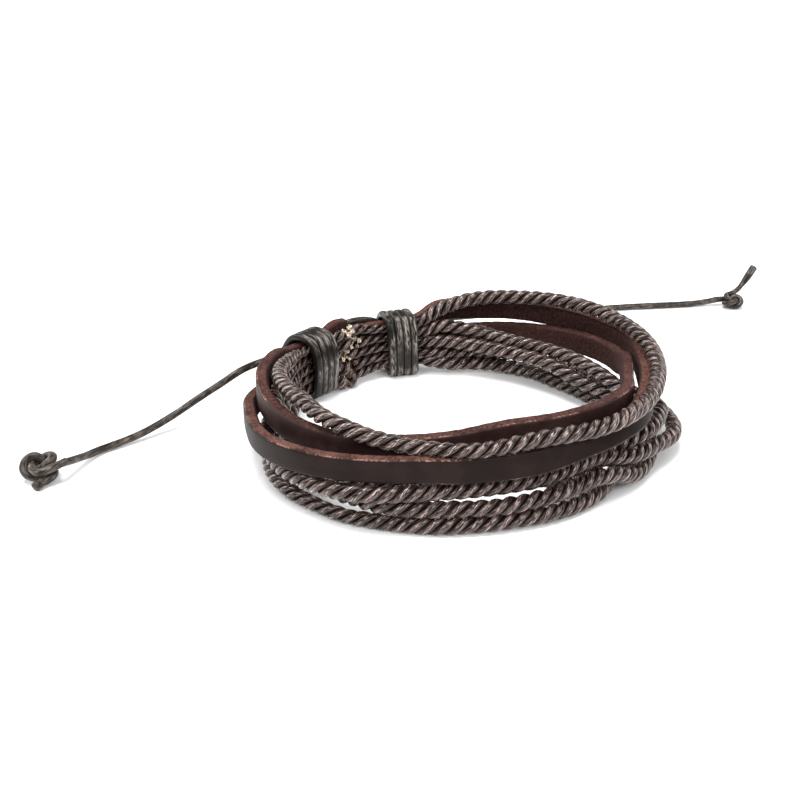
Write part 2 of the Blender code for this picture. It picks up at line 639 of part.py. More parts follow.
def strap_profile(collection):
    """The strap's section: a rectangle with round corners, thickness along X and width along Y."""
    curve = bpy.data.curves.new("strap_profile", "CURVE")
    curve.dimensions = "2D"
    spline = curve.splines.new("POLY")
    half = np.array([STRAP_THICKNESS, STRAP_WIDTH]) / 2 - STRAP_ROUNDING
    corners = []
    for x, y, first in ((1, -1, 360), (-1, -1, 270), (-1, 1, 180), (1, 1, 90)):
        for angle in np.radians([first, first - 90]):
            corners.append((x * half[0] + STRAP_ROUNDING * np.cos(angle),
                            y * half[1] + STRAP_ROUNDING * np.sin(angle)))
    spline.points.add(len(corners) - 1)
    for point, (x, y) in zip(spline.points, corners):
        point.co = (x, y, 0, 1)
    spline.use_cyclic_u = True
    profile = bpy.data.objects.new("strap_profile", curve)
    profile.hide_render = True
    profile.display_type = "WIRE"
    collection.objects.link(profile)
    return profile


def add_strap(name, points, lean, profile, collection, parent):
    item = line_object(name, points, "strap", collection, parent, tilts=lean)
    item.data.twist_mode = "Z_UP"
    item.data.bevel_mode = "OBJECT"
    item.data.bevel_object = profile
    return item


def bounds_of(items):
    """Lowest and highest corner of some objects, as evaluated."""
    graph = bpy.context.evaluated_depsgraph_get()
    low, high = np.full(3, np.inf), np.full(3, -np.inf)
    for item in items:
        evaluated = item.evaluated_get(graph)
        mesh = evaluated.to_mesh()
        places = np.array([evaluated.matrix_world @ vertex.co for vertex in mesh.vertices])
        evaluated.to_mesh_clear()
        low, high = np.minimum(low, places.min(0)), np.maximum(high, places.max(0))
    return low, high


def build():
    clear_scene()
    pieces = new_collection("leather_bracelet")
    guides = new_collection("guides")
    frame = bpy.data.objects.new("bracelet_frame", None)
    pieces.objects.link(frame)
    profile = strap_profile(guides)
    sections = {name: Section(name) for name in STRANDS}
    settle(sections)
    ring = []
    for name, section in sections.items():
        points, lean, tight = strand_line(name, section, STRAND_POINTS)
        if STRANDS[name].kind == "strap":
            ring.append(add_strap(name, points, lean, profile, pieces, frame))
        else:
            ring.append(add_tube(name, points, ROPE_DIAMETER, "rope", pieces, frame, widths=tight))
    for side, middle in (("left", LEFT_BEARING), ("right", RIGHT_BEARING)):
        winding = winding_line(middle)
        drawcord = drawcord_line(side)
        ring.append(add_tube("binding_" + side, winding, CORD_DIAMETER, "winding", pieces, frame))
        ring.append(add_tube("drawcord_" + side, drawcord, CORD_DIAMETER, "cord", pieces, frame))
        knot = KNOTS[side]
        knot_points = knot_line(knot, CORD_DIAMETER)
        from_end = np.arange(len(knot_points))
        eased = [0, 3, len(from_end) - 10, len(from_end) - 5]
        thin = np.interp(from_end, eased, [1, knot.thinning, knot.thinning, 1])
        add_tube("knot_" + side, knot_points, CORD_DIAMETER, "cord", pieces, frame, widths=thin)
        add_tube("tail_" + side, tail_line(side, knot_points), CORD_DIAMETER, "cord", pieces, frame)
    bpy.context.view_layer.update()
    low, high = bounds_of(ring)
    frame.location = (-(low[0] + high[0]) / 2, -(low[1] + high[1]) / 2, 0)
    bpy.context.view_layer.update()
    print("The ring is", [round(float(value) / MM, 1) for value in high - low], "mm over all")


build()
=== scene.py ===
# %% [markdown]
# # A wrist loop of twisted ropes and leather straps
#
# Five waxed ropes and two flat leather straps run side by side once round the wrist. Two tight windings
# of waxed cord hold their ends together, and the two ends of a drawcord lie on the table, each with a
# knot. The measured parts are loaded first: they give every piece its place.

# %% Load the measured parts
import math

import bmesh
import bpy
import numpy as np
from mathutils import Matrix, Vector, noise


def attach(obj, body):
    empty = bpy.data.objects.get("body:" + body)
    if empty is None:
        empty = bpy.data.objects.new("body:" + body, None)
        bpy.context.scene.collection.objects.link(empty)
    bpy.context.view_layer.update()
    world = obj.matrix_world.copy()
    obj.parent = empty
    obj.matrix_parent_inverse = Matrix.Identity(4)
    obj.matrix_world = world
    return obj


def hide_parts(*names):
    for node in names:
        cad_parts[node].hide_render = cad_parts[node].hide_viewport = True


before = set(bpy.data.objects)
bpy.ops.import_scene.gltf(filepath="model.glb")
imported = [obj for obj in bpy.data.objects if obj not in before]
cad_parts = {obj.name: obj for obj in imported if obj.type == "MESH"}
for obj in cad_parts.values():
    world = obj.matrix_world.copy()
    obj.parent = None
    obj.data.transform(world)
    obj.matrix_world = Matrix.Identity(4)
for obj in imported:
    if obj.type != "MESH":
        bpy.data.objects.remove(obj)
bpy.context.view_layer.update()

# %% [markdown]
# ## Camera
#
# The loop was photographed from close by, from in front and above. A camera close to a small thing shows
# strong perspective: the front strands look thicker than the rear ones. The distance is therefore as
# important as the angle, and the lens then follows from how large the loop is in the picture.

# %% Camera
MM = 0.001
CAMERA_PLACE = (-10.91 * MM, -180.31 * MM, 92.9 * MM)
CAMERA_LOOKS_DOWN = 25.5        # degrees below the horizon
SENSOR_WIDTH = 36.0
CAMERA_LENS = 52.38             # in the unit of the sensor's width
NEAREST_SEEN = 1 * MM           # the usual 100 mm would be a lot for so small a thing

camera = bpy.data.objects.new("camera", bpy.data.cameras.new("camera"))
camera.location = CAMERA_PLACE
camera.rotation_euler = (math.radians(90 - CAMERA_LOOKS_DOWN), 0, 0)
camera.data.lens = CAMERA_LENS
camera.data.sensor_width = SENSOR_WIDTH
camera.data.clip_start = NEAREST_SEEN
bpy.context.scene.collection.objects.link(camera)
bpy.context.scene.camera = camera
bpy.context.scene.view_settings.view_transform = "Standard"
print("Camera", tuple(round(x, 4) for x in camera.location), "lens", camera.data.lens)

# %% [markdown]
# ## One way to make every strand
#
# Each measured strand is a coarse tube: rings of eight corners, one after the other. Reading its rings
# gives the line that the strand follows and how thick it is there. The welded copy of the mesh is walked
# from one flat end to the other: the corners that touch a ring, and weren't met yet, are the next ring.

# %% Read the rings of a measured strand
RING_CORNERS = 8
SAME_PLANE = 0.9999             # how alike the directions of two faces in one plane are
SAME_PLACE = 1e-6               # corners nearer to each other than this, in metres, are one


def flat_patch(face):
    """The faces that lie in one plane with this one and join it."""
    patch, waiting = {face}, [face]
    while waiting:
        for edge in waiting.pop().edges:
            for other in edge.link_faces:
                if other not in patch and other.normal.dot(face.normal) > SAME_PLANE:
                    patch.add(other)
                    waiting.append(other)
    return patch


def walk_rings(neighbours, first_ring):
    """Sets of corners, ring after ring, starting from the first."""
    rings, met = [first_ring], set(first_ring)
    while True:
        ahead = {n for corner in rings[-1] for n in neighbours[corner]} - met
        if not ahead:
            return rings
        met |= ahead
        rings.append(ahead)


def read_rings(node_name):
    """The corners of a measured tube as an array: ring, corner, x y z."""
    mesh = bmesh.new()
    mesh.from_mesh(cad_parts[node_name].data)
    bmesh.ops.remove_doubles(mesh, verts=mesh.verts, dist=SAME_PLACE)
    mesh.verts.ensure_lookup_table()
    mesh.normal_update()
    neighbours = [[e.other_vert(v).index for e in v.link_edges] for v in mesh.verts]
    points = np.array([v.co for v in mesh.verts])
    for face in mesh.faces:
        end = {v.index for f in flat_patch(face) for v in f.verts}
        if len(end) == RING_CORNERS:
            rings = walk_rings(neighbours, end)
            whole = len(rings) * RING_CORNERS == len(points)
            if whole and all(len(r) == RING_CORNERS for r in rings):
                mesh.free()
                return np.array([points[sorted(r)] for r in rings])
    raise ValueError(f"{node_name} is no tube of {RING_CORNERS}-cornered rings")


print("Rings of the upper rope:", len(read_rings("rope_top")))

# %% [markdown]
# The rings are a few millimetres apart, which is too coarse for a close view. Cubic curves through their
# middles give a line as fine as is wanted. A pair of directions square to that line, carried along it
# without any twist, then tells where "sideways" and "up" are at each of its points.

# %% Finer lines and their directions
def distance_along(points):
    """How far along the line each of its points is."""
    steps = np.linalg.norm(np.diff(points, axis=0), axis=1)
    return np.concatenate([[0], np.cumsum(steps)])


def blend(stations, values, wanted):
    """Cubic curves through the values at the stations, read at the wanted stations."""
    values = np.asarray(values, float)
    slopes = np.gradient(values, stations, axis=0)
    step = np.clip(np.searchsorted(stations, wanted, side="right") - 1, 0, len(stations) - 2)
    gap = stations[step + 1] - stations[step]
    t = (wanted - stations[step]) / gap
    if values.ndim == 2:
        gap, t = gap[:, None], t[:, None]
    return ((2 * t**3 - 3 * t**2 + 1) * values[step] + (t**3 - 2 * t**2 + t) * gap * slopes[step]
            + (3 * t**2 - 2 * t**3) * values[step + 1] + (t**3 - t**2) * gap * slopes[step + 1])


def unit(vectors):
    return vectors / np.linalg.norm(vectors, axis=-1, keepdims=True)


def fine_line(points, step, *more):
    """The line through the points at an even step, and further values read at the same places."""
    way = distance_along(points)
    wanted = np.linspace(0, way[-1], max(2, round(way[-1] / step)))
    return [blend(way, values, wanted) for values in (points, *more)]


def carried_directions(line):
    """Two directions at each point that are square to the line and don't twist along it."""
    along = unit(np.gradient(line, axis=0))
    side = np.empty_like(line)
    side[0] = np.cross(along[0], (0, 0, 1))
    for i in range(1, len(line)):
        side[i] = side[i - 1]
        side[i] -= along[i] * (side[i] @ along[i])
        side[i] /= np.linalg.norm(side[i])
    side[0] = unit(side[0] - along[0] * (side[0] @ along[0]))
    return side, np.cross(along, side)


# %% [markdown]
# Soft strands never lie quite as measured. Here and there a strand is eased sideways, up or down on its
# neighbour, or drawn thinner or thicker. Most of these changes are a few tenths of a millimetre and the
# largest is 2.4 mm. Each one is strongest at its bearing and fades out on both sides of it.

# %% Ease the strands
EASED_PLACES = {    # bearing and reach in degrees, outward and up in mm, change of thickness as a share
    "rope_top": [(265, 32, 0.5, -0.65, -0.10), (131, 9, 0, 0.4, 0)],
    "rope_second": [(62, 28, 0, -0.55, 0), (311, 28, 0, -2.4, 0)],
    "rope_third": [(230, 24, 0, -0.15, -0.14), (60, 30, 0, 0.25, 0), (288, 14, 0, 0.2, 0)],
    "rope_fourth": [(284, 32, 0, -0.45, 0), (138, 6, -0.4, -0.6, 0.45)],
    "rope_fifth": [(232, 24, 0, -0.25, -0.16), (95, 38, 0, 0.8, 0), (138, 7, -1.0, -0.9, 0.6),
                   (282, 38, 0, 0.4, 0)],
    "strap_outer": [(232, 30, 0, -0.25, 0), (278, 34, 0, 0.25, 0)],
    "strap_inner": [(135, 8, 0, 1.6, 0)],
}


def eased(line, node_name):
    """The line with its small corrections, and the share by which its thickness changes."""
    bearing = np.degrees(np.arctan2(line[:, 1], line[:, 0]))
    outward = unit(line * (1, 1, 0))
    thicker = np.ones(len(line))
    for middle, reach, out, up, change in EASED_PLACES.get(node_name, ()):
        far = np.minimum(np.abs((bearing - middle + 180) % 360 - 180) / reach, 1)
        near = np.cos(far * math.pi / 2) ** 2
        line = line + near[:, None] * (outward * out + (0, 0, up)) * MM
        thicker += near * change
    return line, thicker


# %% [markdown]
# A strand's skin starts as a flat grid, like a sheet of paper with its own map of squares. Each row of the
# grid is laid round the strand as one ring, the two long edges meet and are merged, and a strand's end is
# a ring of no width, merged to one point. The sheet's map stays on it: across is the way round the strand,
# and along is the distance in metres, so that fibres and wax can follow the strand wherever it turns.

# %% Roll a grid into a skin
END_STEPS = (0.94, 0.7, 0.0)        # the shrinking rings that close an end
END_DOME = 0.3                      # how far a cut end bulges, in half thicknesses
SEAM_MERGE = 2e-6                   # in metres


def deselect_all():
    if bpy.context.object and bpy.context.object.mode != "OBJECT":
        bpy.ops.object.mode_set(mode="OBJECT")
    bpy.ops.object.select_all(action="DESELECT")


def with_ends(rings, half_thickness):
    """The rings, with a few more at each end that close it as a slightly domed cut."""
    middles = rings.mean(axis=1)
    closed = rings
    for end, inner in ((0, 1), (-1, -2)):
        outward = unit(middles[end] - middles[inner])
        for shrink in END_STEPS:
            rise = half_thickness * END_DOME * math.sqrt(1 - shrink * shrink)
            ring = middles[end] + (rings[end] - middles[end]) * shrink + outward * rise
            closed = np.concatenate([ring[None], closed] if end == 0 else [closed, ring[None]])
    return closed


def mark_cut(piece, cut):
    """Notes on each face whether it belongs to a cut end. The note outlasts joining."""
    marks = piece.data.attributes.get("cut") or piece.data.attributes.new("cut", "BOOLEAN", "FACE")
    marks.data.foreach_set("value", cut)


def rolled_skin(name, rings, way, half_thickness, around=None):
    """A closed skin over rings of points. way is how far along each ring is, and around is each
    corner's place on the way round, or None for even shares from 0 to 1."""
    ends = len(END_STEPS)
    rings = with_ends(rings, half_thickness)
    way = np.concatenate([np.full(ends, way[0]), way, np.full(ends, way[-1])])
    count, corners = rings.shape[:2]
    around = np.linspace(0, 1, corners + 1) if around is None else around
    deselect_all()
    bpy.ops.mesh.primitive_grid_add(x_subdivisions=corners, y_subdivisions=count - 1, size=1)
    piece = bpy.context.object
    piece.name = piece.data.name = name
    closed = np.concatenate([rings, rings[:, :1]], axis=1)
    piece.data.vertices.foreach_set("co", closed.reshape(-1))
    sheet_map = piece.data.uv_layers[0].data
    flat = np.empty(len(sheet_map) * 2)
    sheet_map.foreach_get("uv", flat)
    flat[0::2] = np.asarray(around)[np.rint(flat[0::2] * corners).astype(int)]
    flat[1::2] = way[np.rint(flat[1::2] * (count - 1)).astype(int)]
    sheet_map.foreach_set("uv", flat)
    row = np.repeat(np.arange(count - 1), corners)
    mark_cut(piece, (row < ends) | (row >= count - 1 - ends))
    piece.location = (0, 0, 0)
    bpy.ops.object.mode_set(mode="EDIT")
    bpy.ops.mesh.select_all(action="SELECT")
    bpy.ops.mesh.remove_doubles(threshold=SEAM_MERGE)
    bpy.ops.mesh.normals_make_consistent(inside=False)
    bpy.ops.object.mode_set(mode="OBJECT")
    bpy.ops.object.shade_smooth()
    return piece


def round_rings(line, radius, sides):
    """Rings of a round cord along a line."""
    side, up = carried_directions(line)
    turn = np.linspace(0, 2 * math.pi, sides, endpoint=False)[None, :, None]
    radius = np.broadcast_to(radius, len(line))[:, None, None]
    return line[:, None] + (side[:, None] * np.cos(turn) + up[:, None] * np.sin(turn)) * radius


def joined(name, parts):
    """Several skins as one piece."""
    deselect_all()
    for part in parts:
        part.select_set(True)
    bpy.context.view_layer.objects.active = parts[0]
    bpy.ops.object.join()
    parts[0].name = parts[0].data.name = name
    return parts[0]


# %% [markdown]
# ## The drawcord's two free ends
#
# The drawcord is 1.3 mm of waxed cord. Each free end leaves the mouth of its winding, comes down to the
# table over a few centimetres and lies there up to its knot. Its route is a short list of places, the same
# ones that the measured part has, and its length follows from them.

# %% Routes of the two free ends
CORD_DIAMETER = 1.3 * MM
TAIL_ROUTES_MM = {
    "left": [
        (-32.02, 15.67, 8.35), (-33.11, 14.39, 8.7), (-36.11, 11.79, 8.8), (-39.31, 8.89, 8.4),
        (-42.51, 7.09, 6.8), (-46.11, 5.49, 4.9), (-51.11, 2.19, 2.5), (-55.91, -2.01, 1.2),
        (-59.11, -4.61, 0.85), (-61.51, -6.71, 0.8), (-62.91, -9.31, 1.2), (-63.91, -12.11, 2.0),
        (-65.25, -16.02, 3.27),
    ],
    "right": [
        (-8.95, 30.69, 8.35), (-7.51, 32.59, 8.3), (-4.91, 34.29, 8.1), (-0.51, 37.29, 7.4),
        (4.69, 41.49, 6.2), (9.49, 45.19, 4.8), (14.09, 48.59, 3.5), (18.49, 51.69, 2.4),
        (23.09, 54.59, 1.4), (27.99, 57.39, 0.9), (33.09, 59.49, 0.75), (38.69, 60.69, 0.75),
        (44.69, 61.49, 0.75), (50.49, 62.19, 0.75), (54.49, 62.79, 0.8), (57.49, 63.39, 1.0),
        (59.95, 63.9, 1.32),
    ],
}
CORD_SIDES = 16
CORD_STEP = 0.25 * MM
CORD_THINNED = 0.01             # the wax draws the cord in, as a share of its thickness
CORD_WAVER = (0.05, 420)        # an unevenness is an amount and how quickly it changes along the way
OFF_TABLE = 0.1 * MM            # between a tail and the table


def uneven(way, waver, *seeds):
    """Smooth noise along a strand, different for each set of seeds."""
    amount, scale = waver
    return amount * np.array([noise.noise(Vector((w * scale, *seeds))) for w in way])


def waxed_cord(name, line, radius):
    """A cord whose thickness wavers a little, as waxed cord does."""
    way = distance_along(line)
    radius = radius * (1 + uneven(way, CORD_WAVER, 3.7, len(name)) - CORD_THINNED)
    return rolled_skin(name, round_rings(line, radius, CORD_SIDES), way, CORD_DIAMETER / 2)


tails = {}
for side, places in TAIL_ROUTES_MM.items():
    line = fine_line(np.array(places) * MM, CORD_STEP)[0]
    line[:, 2] = np.maximum(line[:, 2], CORD_DIAMETER / 2 + OFF_TABLE)
    tail = waxed_cord(f"cord_tail_{side}", line, CORD_DIAMETER / 2)
    tails[side] = (tail, line)
    measured = read_rings(f"tail_{side}").mean(axis=1)
    strays = np.linalg.norm(measured[:, None] - line[None], axis=2).min(axis=1).max()
    print(tail.name, "length", round(distance_along(line)[-1] * 1000, 2), "mm, from the measured tail by",
          round(strays * 1000, 2), "mm at most")

# %% [markdown]
# ## The stopper knots and the drawcord inside the bundle
#
# These are the same cord, and their lines come from the measured parts. Each knot is a loop that its own
# end passes through. It starts a little inside the end of its tail, so that no seam shows between them,
# and its cut end, the stub, widens a bit. Between the windings the cord follows two bridges, each a given
# list of places: one lies over the top of the bundle, and the other runs outside the straps.

# %% Knots and drawcord
KNOT_OVERLAP = 0.8 * MM
STUB_LENGTH = 5.0 * MM
STUB_FLARE = {"left": 0.25, "right": 0.32}
BRIDGES_MM = {                  # from the cord's tip back to the winding that it comes out of
    "right": [(-23.0, 25.2, 8.8), (-22.3, 25.0, 10.4), (-21.0, 24.9, 11.2), (-19.2, 25.6, 11.4),
              (-17.6, 26.8, 11.1), (-15.9, 28.3, 10.2)],
    "left": [(-13.7, 29.7, 7.0), (-17.8, 28.1, 6.0), (-21.6, 25.9, 6.1), (-25.0, 23.2, 7.6)],
}
HIDDEN_SPACING = 4              # of the hidden part of the measured line, every fourth point is enough


def measured_line(node_name, step):
    """The fine line of a measured tube and its radius along it."""
    rings = read_rings(node_name)
    middles = rings.mean(axis=1)
    thickness = np.linalg.norm(rings - middles[:, None], axis=2).mean(axis=1)
    line, radius = fine_line(middles, step, thickness)
    line, thicker = eased(line, node_name)
    return line, radius * thicker


def stopper_knot(side):
    """The knot's cord from its tail to its stub, whose outer half has the full extra width."""
    line, radius = measured_line(f"knot_{side}", CORD_STEP)
    if np.linalg.norm(line[0] - tails[side][1][-1]) > np.linalg.norm(line[-1] - tails[side][1][-1]):
        line, radius = line[::-1], radius[::-1]
    lead = line[0] - unit(line[1] - line[0]) * KNOT_OVERLAP
    line, radius = np.vstack([lead, line]), np.append(radius[0], radius)
    from_end = distance_along(line[::-1])[::-1]
    flare = 1 + STUB_FLARE[side] * np.clip(2 - 2 * from_end / STUB_LENGTH, 0, 1)
    return waxed_cord(f"stopper_knot_{side}", line, radius * flare)


def cord_inside(side):
    """The bridge, and after it the half of the measured line that a winding hides."""
    line = measured_line(f"drawcord_{side}", CORD_STEP)[0]
    bridge = np.array(BRIDGES_MM[side]) * MM
    if np.linalg.norm(line[-1] - bridge[-1]) < np.linalg.norm(line[0] - bridge[-1]):
        line = line[::-1]
    hidden = line[len(line) // 2::HIDDEN_SPACING]
    line = fine_line(np.vstack([bridge, hidden]), CORD_STEP)[0]
    return waxed_cord(f"cord_inside_{side}", line, CORD_DIAMETER / 2)


knots = {side: stopper_knot(side) for side in ("left", "right")}
drawcords = {side: cord_inside(side) for side in ("left", "right")}
print("Knots:", {s: len(k.data.vertices) for s, k in knots.items()})

# %% [markdown]
# ## The windings
#
# Each winding is one waxed cord that goes round the bundle four times. It was pulled tight, so its turns
# are pressed flat against each other: the section is wider along the bundle than it is thick.

# %% Wind the bundle
WINDING_WIDTH = 1.56 * MM
WINDING_THICKNESS = 1.3 * MM
WINDING_SIDES = 20
WINDING_TURNS = 4
FLATNESS = 0.8                  # 1 is an oval, and less is squarer
WIDTH_WAVER = (0.16, 130)       # shares of a turn's width and thickness, and how far it strays sideways
THICKNESS_WAVER = (0.12, 130)
PLACE_WAVER = (0.12 * MM, 130)
TABLE_TOUCH = 0.01 * MM         # the rings of windings and ropes stay this far above the table


def winding(side):
    """One cord wound round the bundle, with a flattened section."""
    line = measured_line(f"binding_{side}", CORD_STEP)[0]
    way = distance_along(line)
    last_turn = line[-len(line) // WINDING_TURNS:]
    first_turn = line[:len(line) // WINDING_TURNS]
    across = unit(last_turn.mean(axis=0) - first_turn.mean(axis=0))
    tangent = unit(np.gradient(line, axis=0))
    outward = unit(np.cross(tangent, across))
    outward *= np.sign((outward * (line - line.mean(axis=0))).sum(axis=1))[:, None]
    turn = np.linspace(0, 2 * math.pi, WINDING_SIDES, endpoint=False)
    wide = np.sign(np.cos(turn)) * np.abs(np.cos(turn)) ** FLATNESS
    high = np.sign(np.sin(turn)) * np.abs(np.sin(turn)) ** FLATNESS
    seed = len(side)
    half_width = WINDING_WIDTH / 2 * (1 + uneven(way, WIDTH_WAVER, 0.5, seed)[:, None])
    half_thickness = WINDING_THICKNESS / 2 * (1 + uneven(way, THICKNESS_WAVER, 7.5, seed)[:, None])
    line = line + across * uneven(way, PLACE_WAVER, 4.1, seed)[:, None]
    rings = (line[:, None] + across[None, None] * (half_width * wide)[..., None]
             + outward[:, None] * (half_thickness * high)[..., None])
    rings[..., 2] = np.maximum(rings[..., 2], TABLE_TOUCH)
    return rolled_skin(f"winding_{side}", rings, way, WINDING_THICKNESS / 2)


windings = {side: winding(side) for side in ("left", "right")}
print("Windings:", {s: len(w.data.vertices) for s, w in windings.items()})

# %% [markdown]
# ## The ropes
#
# A rope is laid up from three plies that turn round each other to the left. Each ply is a cord of its own
# on a spiral about the rope's line. The plies press into each other, which leaves grooves between rounded
# crests. Each ply's map starts in the groove, so that the finish can tell a groove from a crest and paint
# shade into the groove.

# %% The rings of a ply
PLY_SIDES = 12


def ply_rings(spiral, outward, radius):
    """Rings round a ply that start on the side of the rope's middle."""
    tangent = unit(np.gradient(spiral, axis=0))
    outward = unit(outward - tangent * (outward * tangent).sum(axis=1)[:, None])
    sideways = np.cross(tangent, outward)
    turn = np.linspace(0, 2 * math.pi, PLY_SIDES, endpoint=False)[None, :, None]
    round_ply = sideways[:, None] * np.sin(turn) - outward[:, None] * np.cos(turn)
    rings = spiral[:, None] + round_ply * radius[:, None, None]
    rings[..., 2] = np.maximum(rings[..., 2], TABLE_TOUCH)
    return rings


# %% [markdown]
# The ropes were cut between the two windings. There each ply ends in a tuft of short thick fibres. They
# lean outward and each one also bends a little to a side of its own. The dice that place them start from a
# number that is given, so every run throws the same ones.

# %% Fray a cut end
FIBRES_PER_PLY = 8
FIBRE_POINTS = 5
FIBRE_SIDES = 7
FIBRE_RADIUS = 0.19 * MM
FIBRE_LENGTH_MM = (0.25, 0.55)
FIBRE_ROOT = (0.1, 0.7)         # where it starts, as a share of the ply's radius
FIBRE_SUNK = 0.35               # the share of its length that is inside the ply
FIBRE_SPREAD = 0.15             # how far it leans outward, and how far to a side of its own
FIBRE_BEND = 0.22
FIBRE_DISORDER = 0.6
FIBRE_TAPER = 0.25
FIBRE_DOME = 3                  # how much rounder than a cut cord its end is


def tuft(name, root, ahead, radius, dice):
    """Loose fibres at the cut end of a ply."""
    fibres = []
    for _ in range(FIBRES_PER_PLY):
        away = unit(dice.normal(size=3))
        away -= ahead * (away @ ahead)
        start = root + away * radius * dice.uniform(*FIBRE_ROOT)
        bend = unit(away + FIBRE_DISORDER * dice.normal(size=3))
        length = dice.uniform(*FIBRE_LENGTH_MM) * MM
        t = np.linspace(0, 1, FIBRE_POINTS)[:, None]
        line = start + ahead * length * (t - FIBRE_SUNK)
        line += (away * FIBRE_SPREAD + bend * FIBRE_BEND) * length * t * t
        line[:, 2] = np.maximum(line[:, 2], FIBRE_RADIUS + TABLE_TOUCH)
        rings = round_rings(line, FIBRE_RADIUS * (1 - FIBRE_TAPER * t[:, 0]), FIBRE_SIDES)
        fibre = rolled_skin(f"{name}_fibre", rings, distance_along(line), FIBRE_RADIUS * FIBRE_DOME)
        mark_cut(fibre, np.ones(len(fibre.data.polygons), bool))
        fibres.append(fibre)
    return fibres


# %% [markdown]
# A rope is then three plies with a tuft at both ends of each. No rope is quite even: the turns are a little
# longer here and shorter there, and each ply swells and thins. Near a cut end the plies open out.

# %% Lay up the ropes
PLIES = 3
ROPE_PITCH = 6.3 * MM           # length of one whole turn
ROPE_FULLNESS = 1.1             # how much a soft rope bulges over its measured size
PLY_SIZE = 0.468                # of the rope's radius
PLY_OUT = 0.535
ROPE_STEP = 0.28 * MM
LAY_WAVER = (0.22, 45)          # in turns
OUT_WAVER = (0.05, 500)         # shares of the rope's radius, and of the ply's thickness
SIZE_WAVER = (0.1, 170)
OPEN_LENGTH = 3.6 * MM          # the stretch at a cut end where the plies open out
OPENED = 0.12                   # the share by which they move out and swell there
UNEVEN_CUT = 3                  # each ply is fewer than this many steps short


def laid_rope(name, node_name, seed):
    """Three plies round the measured line, with a tuft at each of their ends."""
    line, radius = measured_line(node_name, ROPE_STEP)
    radius = radius * ROPE_FULLNESS
    line[:, 2] = np.maximum(line[:, 2], radius + TABLE_TOUCH)
    way = distance_along(line)
    side, up = carried_directions(line)
    from_cut = np.minimum(way, way[-1] - way)
    opening = np.clip(1 - from_cut / OPEN_LENGTH, 0, 1) ** 1.5
    turning = -2 * math.pi * (way / ROPE_PITCH + uneven(way, LAY_WAVER, seed, 0.5)) + seed
    dice = np.random.default_rng(seed)
    parts = []
    for ply in range(PLIES):
        angle = (turning + 2 * math.pi * ply / PLIES)[:, None]
        outward = side * np.cos(angle) + up * np.sin(angle)
        out = radius * (PLY_OUT + OPENED * opening * (1 + ply % 2)
                        + uneven(way, OUT_WAVER, seed, 9.0 + ply))
        size = radius * PLY_SIZE * (1 + uneven(way, SIZE_WAVER, seed, 5.0 + ply) + OPENED * opening)
        cut = dice.integers(0, UNEVEN_CUT, size=2)
        kept = slice(cut[0], len(line) - cut[1])
        spiral = (line + outward * out[:, None])[kept]
        rings = ply_rings(spiral, outward[kept], size[kept])
        parts.append(rolled_skin(f"{name}_ply", rings, distance_along(spiral), size[0]))
        for end, inner in ((0, 2), (-1, -3)):
            parts += tuft(name, spiral[end], unit(spiral[end] - spiral[inner]), size[kept][end], dice)
    return joined(name, parts)


ropes = {}
for seed, node_name in enumerate(sorted(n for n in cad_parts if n.startswith("rope"))):
    ropes[node_name] = laid_rope(f"laid_{node_name}", node_name, seed)
    print(ropes[node_name].name, len(ropes[node_name].data.polygons), "faces")

# %% [markdown]
# ## The straps
#
# A strap is a long strip cut from thick leather. Its two faces are smooth and its two cut edges are rough.
# The measured rings tell how the strip turns on its way: the longer direction of each ring is the strip's
# width. The profile is a rectangle with worn corners, and only the cut edges are given small bumps.

# %% Cut the straps
STRAP_WIDTH = 4.3 * MM
STRAP_THICKNESS = 2.0 * MM
STRAP_CORNER = 0.45 * MM
STRAP_STEP = 0.3 * MM
EDGE_BUMP = 0.08 * MM
BUMPS_ALONG = 800
BUMPS_THROUGH = 900
SMALL_BUMPS = (0.6, 2.7)        # their height and their number, against the large ones
STRAP_WORN = {"strap_inner": 0.96, "strap_outer": 0.9}      # shares of the measured width
CORNER_POINTS = 5
FACE_POINTS = 4


def strap_profile():
    """The strip's outline as (across, through) pairs, starting in the middle of its inner face."""
    wide, thick = STRAP_WIDTH / 2 - STRAP_CORNER, STRAP_THICKNESS / 2 - STRAP_CORNER
    corners = ((-wide, -thick, 270), (-wide, thick, 180), (wide, thick, 90), (wide, -thick, 0))
    outline = []
    for across, through, start in corners:
        for turn in np.radians(np.linspace(start, start - 90, CORNER_POINTS)):
            outline.append((across + STRAP_CORNER * math.cos(turn),
                            through + STRAP_CORNER * math.sin(turn)))
    finer = []
    for here, ahead in zip(outline, outline[1:] + outline[:1]):
        pieces = FACE_POINTS if math.dist(here, ahead) > STRAP_CORNER else 1
        finer += [tuple(h + (a - h) * i / pieces for h, a in zip(here, ahead)) for i in range(pieces)]
    return np.roll(np.array(finer), FACE_POINTS // 2, axis=0)


def strap_axes(rings):
    """For each ring: its middle, the directions of width and thickness, and half of each."""
    middles = rings.mean(axis=1)
    wide, through, half_wide, half_thick = [], [], [], []
    for ring, middle in zip(rings, middles):
        longest_first = np.linalg.svd(ring - middle)[2]
        upward = longest_first[0] * np.sign(longest_first[0][2])
        outward = longest_first[1] * np.sign(longest_first[1] @ (middle * (1, 1, 0)))
        wide.append(upward)
        through.append(outward)
        half_wide.append(np.abs((ring - middle) @ upward).max())
        half_thick.append(np.abs((ring - middle) @ outward).max())
    return middles, np.array(wide), np.array(through), np.array(half_wide), np.array(half_thick)


